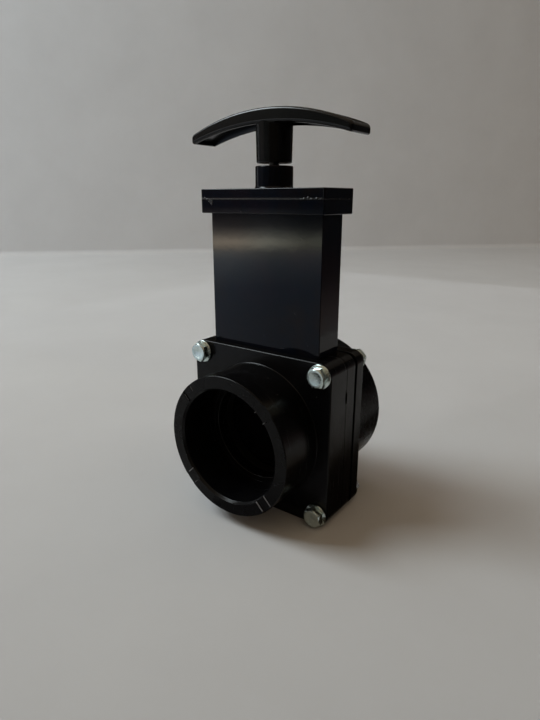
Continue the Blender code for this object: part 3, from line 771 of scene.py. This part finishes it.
# Stem rod: a turned steel rod, blackened, with a round head at its foot that hooks into the gate.
# It slides through the cap's collar and ends in the handle's stem.
rod_low, rod_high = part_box("stem_rod")
rod_radius = 0.0020
rod_head_radius = 0.0036
rod_head_top = rod_low.z + 0.0030
rod_edge = 0.0003
rod_root = 0.0002
rod_tip = 0.0005
stem_line = ((0, stem_y, 0), (0, 0, 1))
rod_profile = [
    (0, rod_low.z, 0),
    (rod_head_radius, rod_low.z, rod_edge),
    (rod_head_radius, rod_head_top, rod_edge),
    (rod_radius, rod_head_top, rod_root),
    (rod_radius, rod_high.z, rod_tip),
    (0, rod_high.z, 0),
]
rod = turned("stem_rod_turned", rounded(rod_profile, 4), stem_line, sides=64)
smooth(rod)
rod_steel, tree, shader, place = new_finish("blackened_turned_steel")
stains = noisy(tree, place, scale=260, detail=5, rough=0.6)
stretched = add(tree, "ShaderNodeMapping", {"Vector": place, "Scale": (300, 300, 9000)})
lathe_marks = noisy(tree, stretched.outputs["Vector"], scale=1, detail=3)
oxide = ramp(tree, stains, (0.32, (0.020, 0.020, 0.023)), (0.70, (0.060, 0.056, 0.054)))
polish = ramp(tree, lathe_marks, (0.3, 0.24), (0.7, 0.44))
rings = bumped(tree, lathe_marks, strength=0.5, depth=0.00001)
fill(shader, {"Base Color": oxide, "Roughness": polish, "Normal": rings, "Metallic": 1})
dress(rod, rod_steel, "stem", "rod_steel", "stem_rod")

# Stem seals: two rubber O-rings round the rod inside the collar, kept in by a plain nylon bush.
# All three are hidden, so their solids stay and only get their finish.
keep_solid("stem_o_ring_lower", seal_rubber)
keep_solid("stem_o_ring_upper", seal_rubber)
nylon, tree, shader, place = new_finish("natural_nylon")
milky = noisy(tree, place, scale=500, detail=4)
cream = ramp(tree, milky, (0.3, (0.58, 0.55, 0.48)), (0.7, (0.68, 0.66, 0.60)))
waxy = ramp(tree, milky, (0.3, 0.36), (0.7, 0.52))
fill(shader, {"Base Color": cream, "Roughness": waxy})
keep_solid("stem_bush", nylon)

# Housing cap: a plate with a plug below it and the stem collar above it, glued on the housing's rim.
# It is moulded from the housing's glossy black plastic.
cap_low, cap_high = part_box("housing_cap")
cap_bottom = housing_high.z + fit_gap
cap_top = cap_bottom + 0.0040
cap_edge = 0.00035
collar_radius = 0.00785
collar_fillet = 0.0011
collar_edge = 0.0005
collar_sink = 0.0001
rod_bore_radius = 0.0023
rod_mouth = 0.0013
rod_mouth_depth = 0.0003
seal_pocket_radius = 0.0044
seal_pocket_top = 0.1472
cap = block("housing_cap_moulding", (cap_low.x, cap_low.y, cap_bottom), (cap_high.x, cap_high.y, cap_top))
round_uprights(cap, cap_low, cap_high, rim_corner)
round_edges(cap, cap_edge, 4, lambda co: near(co.z, cap_top))
for face in (cap_low.y, cap_high.y):
    round_edges(cap, cap_edge, 3, lambda co: near(co.z, cap_bottom) and near(co.y, face))
plug_half_depth = cavity_half_depth - fit_gap
plug_half = cavity_half - fit_gap
plug_low = (-plug_half, stem_y - plug_half_depth, cap_low.z)
plug_high = (plug_half, stem_y + plug_half_depth, cap_bottom + overshoot)
combine(cap, block("plug", plug_low, plug_high), "UNION")
collar = [
    (0, cap_top - overshoot, 0),
    (collar_radius + 2 * collar_fillet, cap_top - overshoot, 0),
    (collar_radius + 2 * collar_fillet, cap_top - collar_sink, 0),
    (collar_radius, cap_top - collar_sink, collar_fillet),
    (collar_radius, cap_high.z, collar_edge),
    (0, cap_high.z, 0),
]
combine(cap, turned("collar", rounded(collar, 5), stem_line, sides=96), "UNION")
stem_bore = [
    (0, cap_low.z - overshoot),
    (seal_pocket_radius, cap_low.z - overshoot),
    (seal_pocket_radius, seal_pocket_top),
    (rod_bore_radius, seal_pocket_top),
    (rod_bore_radius, cap_high.z - rod_mouth_depth),
    (rod_bore_radius + rod_mouth, cap_high.z + overshoot),
    (0, cap_high.z + overshoot),
]
combine(cap, turned("stem_bore", stem_bore, stem_line, sides=64), "DIFFERENCE")
smooth(cap)
dress(cap, housing_plastic, "body", "housing_plastic", "housing_cap")

# Glue seam: the solvent cement between the cap and the rim, squeezed out in an uneven bead.
# It dried with a shine, and small beads stand out of the joint.
glue_step = 0.0004
glue_recess = 0.00012
glue_flush = 0.00003
glue_swell = 0.0005
glue_overlap = 0.0001
glue_coarse = 620
glue_fine = 1700
glue_bottom = housing_high.z - glue_overlap
glue_top = cap_bottom + glue_overlap
glue_corners = [
    Vector((housing_low.x, housing_low.y)),
    Vector((housing_high.x, housing_low.y)),
    Vector((housing_high.x, housing_high.y)),
    Vector((housing_low.x, housing_high.y)),
]
glue_path = []
for index, start in enumerate(glue_corners):
    side = glue_corners[(index + 1) % 4] - start
    outward = Vector((side.y, -side.x)).normalized()
    for step in range(1, int(side.length / glue_step)):
        point = start + side.normalized() * step * glue_step
        swell = noise.noise(Vector((point.x, point.y, 0)) * glue_coarse)
        swell += 0.5 * noise.noise(Vector((point.x, point.y, 1)) * glue_fine)
        if near(side.y, 0):
            point += outward * (max(swell, 0) ** 1.5 * glue_swell - glue_recess)
        else:
            point -= outward * glue_flush
        glue_path.append((point.x, point.y, glue_bottom))
draw(glue_path)
bpy.ops.mesh.edge_face_add()
extrude((0, 0, glue_top - glue_bottom))
glue = settle("cap_glue_seam")
glue_hole_low = (-cavity_half, stem_y - cavity_half_depth, glue_bottom - overshoot)
glue_hole_high = (cavity_half, stem_y + cavity_half_depth, glue_top + overshoot)
combine(glue, block("glue_hole", glue_hole_low, glue_hole_high), "DIFFERENCE")
bead_depth = 0.00042
bead_sag = 0.25
glue_pieces = [glue]
for across, above, half_length, half_height in (
    (-0.0303, 0.0002, 0.0007, 0.00040),
    (-0.0290, 0.0004, 0.0007, 0.00050),
    (-0.0276, 0.0000, 0.0009, 0.00036),
    (-0.0262, -0.0006, 0.0006, 0.00070),
    (-0.0251, -0.0013, 0.0007, 0.00090),
    (-0.0238, 0.0001, 0.0006, 0.00030),
    (0.02093, 0.0000, 0.0006, 0.00030),
    (0.0223, 0.0002, 0.0009, 0.00034),
    (0.02411, 0.0005, 0.0007, 0.00042),
    (0.0256, 0.0001, 0.0010, 0.00030),
    (0.0280, 0.0003, 0.0008, 0.00036),
    (0.02967, 0.0001, 0.0006, 0.00033),
):
    middle = (glue_bottom + glue_top) / 2 + above
    bead = primitive(
        "glue_bead",
        bpy.ops.mesh.primitive_uv_sphere_add,
        segments=20,
        ring_count=12,
        radius=1,
        location=(across, housing_low.y + glue_recess, middle),
        scale=(half_length, bead_depth, half_height),
    )
    choose(bead, "VERT", lambda co: co.z < middle - half_height * bead_sag)
    bpy.ops.transform.translate(value=(0, 0, -half_height * bead_sag))
    bpy.ops.object.mode_set(mode="OBJECT")
    glue_pieces.append(bead)
glue = joined("cap_glue_seam", glue_pieces)
smooth(glue, 50)
dried = ((0.016, 0.016, 0.018), (0.040, 0.040, 0.043))
dried_glue = moulded_plastic("dried_black_glue", dried, gloss=0.24, ripple=0.00003, index=1.45)
dress(glue, dried_glue, "body", "housing_plastic", "housing_cap")

# Handle: a curved bar on a short round stem, moulded in one piece and hollow underneath.
# It is pressed on the rod, and fingers under the bar, on both sides of the stem, pull the gate up.
handle_low, handle_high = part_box("handle")
bar_half = handle_high.x
bar_rise = 0.0079
bar_under_rise = 0.0061
bar_tip = 0.0039
bar_edge = 0.0013
bar_corner = 0.0014
bar_steps = 24
bar_skin = 0.0022
bar_wall = 0.0013
hollow_draft = 0.88
handle_stem_top = 0.0076
handle_stem_bottom = 0.0073
handle_stem_edge = 0.0004
handle_stem_swell = 0.00012
handle_stem_blend = 0.0008
rod_hole_top = 0.16495
handle_stem_z = handle_low.z
bar_top = handle_high.z
bar_under = bar_top - bar_rise - bar_tip + bar_under_rise


def arch(half, top, rise, drop):
    """Points along a circular arch from left to right, moved down by a drop."""
    radius = (bar_half**2 + rise**2) / (2 * rise)
    points = []
    for step in range(bar_steps + 1):
        across = half * (2 * step / bar_steps - 1)
        points.append((across, top - drop - radius + math.sqrt(radius**2 - across**2)))
    return points


def arched(name, upper, lower, front, back):
    """A curved bar between an upper and a lower chain of points, from front to back along Y."""
    draw([(across, front, height) for across, height in lower])
    below = settle(name + "_underside")
    draw([(across, front, height) for across, height in upper])
    above = settle(name)
    below.select_set(True)
    bpy.ops.object.join()
    choose(above, "EDGE", lambda co: True)
    bpy.ops.mesh.bridge_edge_loops()
    bpy.ops.mesh.select_all(action="SELECT")
    extrude((0, back - front, 0))
    return settle(name)


upper = arch(bar_half, bar_top, bar_rise, 0)
lower = arch(bar_half, bar_under, bar_under_rise, 0)
handle = arched("handle_moulding", upper, lower, handle_low.y, handle_high.y)
for tip_z in (upper[0][1], lower[0][1]):
    round_edges(handle, bar_corner, 6, lambda co: near(abs(co.x), bar_half) and near(co.z, tip_z))
bpy.ops.object.mode_set(mode="EDIT")
bpy.ops.mesh.select_all(action="DESELECT")
bpy.ops.mesh.edges_select_sharp(sharpness=math.radians(50))
bpy.ops.mesh.bevel(offset=bar_edge, segments=5, affect="EDGES")
bpy.ops.object.mode_set(mode="OBJECT")
hollow_upper = arch(bar_half - bar_wall, bar_top, bar_rise, bar_skin)
hollow_lower = arch(bar_half - bar_wall, bar_under, bar_under_rise, overshoot)
hollow_front = handle_low.y + bar_wall
hollow = arched("hollow", hollow_upper, hollow_lower, hollow_front, handle_high.y - bar_wall)
choose(hollow, "VERT", lambda co: any(near(co.x, x) and near(co.z, z) for x, z in hollow_upper))
bpy.ops.transform.resize(value=(1, hollow_draft, 1), center_override=(0, stem_y, bar_top))
bpy.ops.object.mode_set(mode="OBJECT")
combine(handle, hollow, "DIFFERENCE")
neck = [
    (0, handle_stem_z, 0),
    (handle_stem_bottom, handle_stem_z, handle_stem_edge),
    (handle_stem_top, bar_under - handle_stem_blend, 0),
    (handle_stem_top + handle_stem_swell, bar_under, 0),
    (handle_stem_top, bar_under + handle_stem_blend, 0),
    (handle_stem_top, bar_top - bar_skin / 2, 0),
    (0, bar_top - bar_skin / 2, 0),
]
combine(handle, turned("neck", rounded(neck, 4), stem_line, sides=96), "UNION")
rod_hole = plain(rod_bore_radius, handle_stem_z - overshoot, rod_hole_top)
combine(handle, turned("rod_hole", rod_hole, stem_line, sides=48), "DIFFERENCE")
smooth(handle)
handle_plastic = moulded_plastic("satin_black_handle", black, gloss=0.20, ripple=0.00005, index=1.34)
dress(handle, handle_plastic, "stem", "handle_plastic", "handle")

# Stage: pale grey card that curves up into a wall behind the valve, lit by one wide soft lamp at the left.
# Boards outside the picture show only as mirror images in the black plastic. Glowing ones paint reflected
# light:
# a window's foot and floor low on the left, a dim wall on the right and lit floor behind; dark ones paint
# shade into the reflections on the right, in front, round the camera and behind. A pale ring wall that only
# the camera sees closes the other sides.
fold = Vector((-0.696, 1.045, 0))
along_wall = Vector((0.688, 0.726, 0))
to_camera = Vector((0.726, -0.688, 0))
fold_radius = 0.014
card_reach = 4.0
card_height = 2.5
fold_steps = 12
sweep = [fold + to_camera * card_reach - along_wall * card_reach]
for step in range(fold_steps + 1):
    angle = math.pi / 2 * step / fold_steps
    inset = to_camera * fold_radius * (1 - math.sin(angle))
    rise = Vector((0, 0, fold_radius * (1 - math.cos(angle))))
    sweep.append(fold + inset + rise - along_wall * card_reach)
sweep.append(fold + Vector((0, 0, card_height)) - along_wall * card_reach)
draw(sweep)
extrude(along_wall * card_reach * 2)
card = settle("stage_card")
smooth(card)
card_finish, tree, shader, place = new_finish("pale_card")
fibres = noisy(tree, place, scale=9, detail=6, rough=0.6)
lying = ramp(tree, fibres, (0.3, (0.500, 0.495, 0.500)), (0.7, (0.530, 0.526, 0.530)))
# Painted light: where the card stands up as the wall it gets a lighter, bluer colour than where it lies as
# the floor.
painted_light_wall_tone = ramp(tree, fibres, (0.3, (0.700, 0.710, 0.734)), (0.7, (0.740, 0.752, 0.778)))
height = add(tree, "ShaderNodeSeparateXYZ", {"Vector": place}).outputs["Z"]
# Painted shade: the floor part of the card is darkened towards the camera.
forward = add(tree, "ShaderNodeVectorMath", {0: place, 1: to_camera})
forward.operation = "DOT_PRODUCT"
forward = add(tree, "ShaderNodeMapRange", {0: forward.outputs["Value"], 1: -0.2, 2: 0.2})
painted_shade_toward_camera = ramp(tree, forward.outputs[0], (0.25, 0.97), (0.50, 0.92), (0.70, 0.87), (0.86, 0.80), (1.0, 0.76))
lying = mixed(tree, 1.0, lying, painted_shade_toward_camera, "MULTIPLY")
upright = ramp(tree, height, (0.0, 0.0), (fold_radius, 1.0))
fill(shader, {"Base Color": mixed(tree, upright, lying, painted_light_wall_tone), "Roughness": 0.85})
card.data.materials.append(card_finish)
lamp_place = Vector((-1.55, -0.77, 1.95))
lamp_target = Vector((0, 0, 0.05))
lamp_size = 1.1
bpy.ops.object.select_all(action="DESELECT")
bpy.ops.object.light_add(type="AREA", location=lamp_place)
lamp = bpy.context.object
lamp.name = "key_lamp"
lamp.rotation_euler = (lamp_target - lamp_place).to_track_quat("-Z", "Y").to_euler()
lamp.data.shape = "RECTANGLE"
lamp.data.size = lamp_size
lamp.data.size_y = lamp_size
lamp.data.energy = 48
lamp.data.color = (0.86, 0.96, 1.0)
board_lift = 0.001
glow_strength = 4.4
unlit = (0.01, 0.01, 0.01, 1)


def mirror_board(name, points, finish):
    """A board outside the picture that only shows as a mirror image in glossy surfaces."""
    draw(points)
    bpy.ops.mesh.edge_face_add()
    board = settle(name)
    board.data.materials.append(finish)
    board.visible_camera = False
    board.visible_diffuse = False
    board.visible_shadow = False


def floor_board(name, corners, finish):
    """A mirror board that lies just above the floor, between corners of X and Y."""
    mirror_board(name, [(across, along, board_lift) for across, along in corners], finish)


def glowing(name, turn, rows, fades):
    """A finish that glows by two ramps, each along its own axis of the turned object coordinates."""
    finish, tree, shader, place = new_finish(name)
    place = add(tree, "ShaderNodeMapping", {"Vector": place, **turn}).outputs["Vector"]
    axes = add(tree, "ShaderNodeSeparateXYZ", {"Vector": place})
    bright = ramp(tree, axes.outputs[rows[0]], *rows[1:])
    faded = ramp(tree, axes.outputs[fades[0]], *fades[1:])
    glow = mixed(tree, 1.0, bright, faded, "MULTIPLY")
    fill(shader, {"Emission Color": glow, "Emission Strength": glow_strength})
    fill(shader, {"Base Color": unlit, "Roughness": 0.95})
    return finish


# Painted reflection of a window's foot: a glowing board at the left front that lights nothing, brightest in
# a band near its foot.
window_start = Vector((-1.75, -0.35, 0))
window_end = Vector((0.05, -1.65, 0))
window_height = Vector((0, 0, 0.7))
window_width = window_end.x - window_start.x
painted_window_reflection = glowing(
    "painted_window_reflection",
    {"Location": (-window_start.x / window_width, 0, 0), "Scale": (1 / window_width, 1, 1)},
    (
        "Z",
        (0.0, (0.70, 0.67, 0.60)),
        (0.022, (1.60, 1.50, 1.30)),
        (0.042, (0.65, 0.63, 0.58)),
        (0.065, (0.15, 0.15, 0.16)),
        (0.11, (0.02, 0.02, 0.03)),
        (0.30, 0.05),
        (0.36, 0.10),
        (0.68, 0.01),
    ),
    ("X", (0.10, 0.35), (0.50, (1.0, 0.90, 0.80)), (0.54, (0.85, 0.88, 0.82)), (0.59, (0.33, 0.36, 0.32))),
)
mirror_board(
    "window_wall_board",
    [window_start, window_end, window_end + window_height, window_start + window_height],
    painted_window_reflection,
)
# Painted reflection: a glowing board on the floor at the left front, graded in brightness and tint, that
# lights nothing.
painted_window_floor_reflection = glowing(
    "painted_window_floor_reflection",
    {"Location": (-0.1, 0.5, 0), "Rotation": (0, 0, math.radians(127.1)), "Scale": (0.8, 0.8, 0.8)},
    (
        "X",
        (0.10, (0.15, 0.16, 0.18)),
        (0.40, (0.15, 0.18, 0.23)),
        (0.70, (0.35, 0.39, 0.43)),
        (1.0, (0.75, 0.73, 0.66)),
    ),
    ("Y", (0.44, 0.80), (0.52, 0.46), (0.60, 0.40)),
)
floor_board(
    "window_floor_board", [(-0.51, 0.07), (0.09, -0.38), window_end.xy, window_start.xy], painted_window_floor_reflection
)


def felt(name, dark, pale):
    """A matt finish with a cloudy nap, for boards that paint shade into reflections."""
    finish, tree, shader, place = new_finish(name)
    nap = noisy(tree, place, scale=30, detail=4)
    fill(shader, {"Base Color": ramp(tree, nap, (0.3, dark), (0.7, pale)), "Roughness": 0.95})
    return finish


# Painted shade: near-black brown and grey boards that show only in reflections, where they stand in for
# shaded floor and a dark room.
painted_shade_brown = felt("painted_shade_brown", (0.022, 0.015, 0.010), (0.032, 0.022, 0.015))
painted_shade_grey = felt("painted_shade_grey", (0.13, 0.12, 0.13), (0.16, 0.15, 0.16))
# Painted shade: a grey board on the floor in front of the front hub, seen only in reflections in the ring
# and the lower flange.
front_shade = [(-0.030, -0.02), (0.024, -0.02), (0.024, -0.075), (-0.005, -0.075)]
floor_board("front_shade_board", front_shade, painted_shade_grey)
# Painted reflection: a dim glowing board on the right that lights nothing, brightest and palest at its foot
# and warmer higher up.
right_glow = glowing(
    "painted_right_reflection",
    {},
    ("Z", (0.0, 0.055), (0.03, 0.034), (0.06, 0.008), (0.09, 0.0008)),
    ("Z", (0.0, (1.0, 0.90, 0.86)), (0.06, (1.0, 0.6, 0.55))),
)
mirror_board(
    "right_wall_board",
    [(0.27, -0.16, 0), (0.06, 1.15, 0), (0.06, 1.15, 0.26), (0.27, -0.16, 0.26)],
    right_glow,
)
# Painted shade: a dark board on the floor beside and behind the right of the body, seen only in reflections
# in its side and the rear hub.
right_shade = [(0.038, -0.03), (0.068, -0.03), (0.070, 0.06), (0.080, 0.12), (0.080, 0.26), (0.038, 0.26)]
floor_board("right_shade_board", right_shade, painted_shade_brown)
# Painted shade: a dark board on the floor round and beyond the camera, seen only in reflections.
near_camera = to_camera * 0.14
past_camera = to_camera * 1.2
camera_shade = [
    near_camera - along_wall * 0.2,
    near_camera + along_wall * 0.4,
    past_camera + along_wall * 0.9,
    past_camera - along_wall * 0.9,
]
floor_board("camera_shade_board", [corner.xy for corner in camera_shade], painted_shade_brown)
# Painted shade: a dark board just in front of the backdrop, seen only in reflections.
back_start = fold - along_wall * 1.3 + to_camera * 0.1
back_end = fold + along_wall * 1.2 + to_camera * 0.1
back_height = Vector((0, 0, 0.9))
back_corners = [back_start, back_end, back_end + back_height, back_start + back_height]
mirror_board("back_shade_board", back_corners, painted_shade_brown)
# Painted reflection: a glowing board on the floor behind the valve that lights nothing, seen only in faces
# turned towards it.
painted_back_floor_reflection = glowing(
    "painted_back_floor_reflection", {}, ("Y", (0.08, 0.06), (0.30, 0.11), (0.70, 0.14)), ("X", (0.0, 1.0), (0.2, 0.8))
)
behind = [(-0.50, 0.07), (0.02, 0.07), (0.03, 0.11), (0.16, 0.50), (0.20, 0.75), (-0.50, 0.75)]
floor_board("back_floor_board", behind, painted_back_floor_reflection)
surround_radius = 2.6
surround_height = 2.4
surround_edge = [(surround_radius, 0), (surround_radius, surround_height)]
surround = turned("stage_surround", surround_edge, ((0, 0, 0), (0, 0, 1)), sides=96)
smooth(surround)
surround_finish, tree, shader, place = new_finish("pale_surround")
paper = noisy(tree, place, scale=2, detail=5)
shade = ramp(tree, paper, (0.3, (0.280, 0.276, 0.270)), (0.7, (0.300, 0.296, 0.290)))
fill(shader, {"Emission Color": shade, "Emission Strength": 1, "Base Color": unlit})
surround.data.materials.append(surround_finish)
surround.visible_diffuse = False
surround.visible_glossy = False
surround.visible_shadow = False
world = bpy.data.worlds.new("dim_room")
world.use_nodes = True
tree = world.node_tree
around = add(tree, "ShaderNodeTexCoord", {}).outputs["Generated"]
heading = add(tree, "ShaderNodeSeparateXYZ", {"Vector": around})
room = ramp(
    tree,
    heading.outputs["Z"],
    (0.02, (0.024, 0.018, 0.012)),
    (0.30, (0.170, 0.130, 0.090)),
    (0.90, (0.480, 0.375, 0.260)),
)
fill(tree.nodes["Background"], {"Color": room})
bpy.context.scene.world = world

# Camera: a short lens close to the valve, seen from its right front and a little above.
# Its place, tilt and lens were solved from the valve's own edges and circles.
camera_tilt = 17.015
camera_turn = 36.356
bpy.ops.object.camera_add(
    location=(0.135425, -0.189683, 0.138516),
    rotation=(math.radians(90 - camera_tilt), 0, math.radians(camera_turn)),
)
camera = bpy.context.object
camera.name = "camera"
camera.data.sensor_width = 36
camera.data.lens = 26.24
bpy.context.scene.camera = camera
bpy.context.scene.view_settings.view_transform = "Standard"
